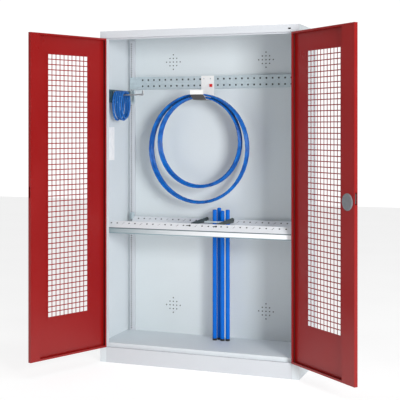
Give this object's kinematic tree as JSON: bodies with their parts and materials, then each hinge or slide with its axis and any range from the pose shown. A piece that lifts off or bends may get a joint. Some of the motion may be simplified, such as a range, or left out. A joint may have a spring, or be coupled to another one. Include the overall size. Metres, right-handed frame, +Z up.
{
  "type": "equipment cabinet",
  "caption": "Tall two-door steel cabinet with square-mesh door windows, perforated rails, hose coils, a rope coil and upright rods; both doors hinge and a turning grip works latch and rods.",
  "frame": {"origin": "centre of the cabinet's footprint, on the floor it stands on", "axes": "+X to the right seen from the front, +Y into the cabinet, +Z up"},
  "size_m": [1.778, 0.9517, 1.95],
  "materials": {
    "grey_paint": "semi-gloss powder coat",
    "red_paint": "semi-gloss powder coat",
    "galvanised": "zinc plated, satin",
    "white_paint": "satin",
    "dark_steel": "satin",
    "steel": "bright",
    "grey_plastic": "fine texture",
    "black_plastic": "fine texture",
    "red_plastic": "gloss",
    "blue_hose": "gloss",
    "blue_rope": "braided",
    "blue_rod": "satin"
  },
  "bodies": {
    "root": {"left_side_panel": "grey_paint", "right_side_panel": "grey_paint", "back_panel": "grey_paint", "top_panel": "grey_paint", "floor_panel": "grey_paint", "plinth_front": "grey_paint", "plinth_rear": "grey_paint", "floor_stiffener": "galvanised", "rear_left_upright": "grey_paint", "rear_right_upright": "grey_paint", "front_left_upright": "grey_paint", "front_right_upright": "grey_paint", "upper_rail": "galvanised", "upper_rail_left_bracket": "galvanised", "upper_rail_right_bracket": "galvanised", "side_rail": "galvanised", "side_rail_rear_bracket": "galvanised", "front_traverse": "grey_paint", "rear_traverse": "grey_paint", "front_traverse_left_bracket": "galvanised", "front_traverse_right_bracket": "galvanised", "rear_traverse_left_bracket": "galvanised", "rear_traverse_right_bracket": "galvanised", "hose_holder": "white_paint", "hose_holder_lock_plug": "red_plastic", "rope_hook": "steel", "large_hose_coil": "blue_hose", "small_hose_coil": "blue_hose", "rope_coil": "blue_rope", "rod_holder_left_arm": "dark_steel", "rod_holder_right_arm": "dark_steel", "rod_holder_front_bar": "galvanised", "rod_holder_rear_bar": "galvanised", "rod_1": "blue_rod", "rod_2": "blue_rod", "rod_3": "blue_rod", "rod_4": "blue_rod", "rod_1_foot": "black_plastic", "rod_2_foot": "black_plastic", "rod_3_foot": "black_plastic", "rod_4_foot": "black_plastic", "left_hinge_pin_1": "steel", "left_hinge_pin_2": "steel", "left_hinge_pin_3": "steel", "right_hinge_pin_1": "steel", "right_hinge_pin_2": "steel", "right_hinge_pin_3": "steel"},
    "left_door": {"left_door_panel": "red_paint", "left_door_mesh": "red_paint", "left_door_channel": "red_paint"},
    "right_door": {"right_door_panel": "red_paint", "right_door_mesh": "red_paint", "right_door_channel": "red_paint", "lock_case": "steel", "lock_cover_disc": "grey_plastic", "lock_rosette": "grey_plastic"},
    "grip": {"lock_grip": "black_plastic"},
    "latch": {"lock_latch": "steel"},
    "upper_rod": {"lock_rod_upper": "steel"},
    "lower_rod": {"lock_rod_lower": "steel"}
  },
  "joints": [
    {"name": "left_door_hinge", "type": "hinge", "parent": "root", "child": "left_door", "pos_m": [-0.57, -0.21, 1], "axis": [0, 0, 1], "range_deg": [-27.3, 112.7]},
    {"name": "right_door_hinge", "type": "hinge", "parent": "root", "child": "right_door", "pos_m": [0.57, -0.21, 1], "axis": [0, 0, 1], "range_deg": [-137.5, 2.5]},
    {"name": "grip_turn", "type": "hinge", "parent": "right_door", "child": "grip", "pos_m": [0.95424, -0.54853, 1.008], "axis": [-0.6756, -0.7373, 0], "range_deg": [0, 90]},
    {"name": "latch_slide", "type": "slide", "parent": "right_door", "child": "latch", "axis": [0.7373, -0.6756, 0], "range_m": [0, 0.0121]},
    {"name": "upper_rod_slide", "type": "slide", "parent": "right_door", "child": "upper_rod", "axis": [0, 0, 1], "range_m": [0, 0.0141]},
    {"name": "lower_rod_slide", "type": "slide", "parent": "right_door", "child": "lower_rod", "axis": [0, 0, -1], "range_m": [0, 0.0141]}
  ],
  "couplings": [
    {"joint": "latch_slide", "follows": "grip_turn", "m_per_rad": 0.007639},
    {"joint": "upper_rod_slide", "follows": "grip_turn", "m_per_rad": 0.008913},
    {"joint": "lower_rod_slide", "follows": "grip_turn", "m_per_rad": 0.008913}
  ]
}
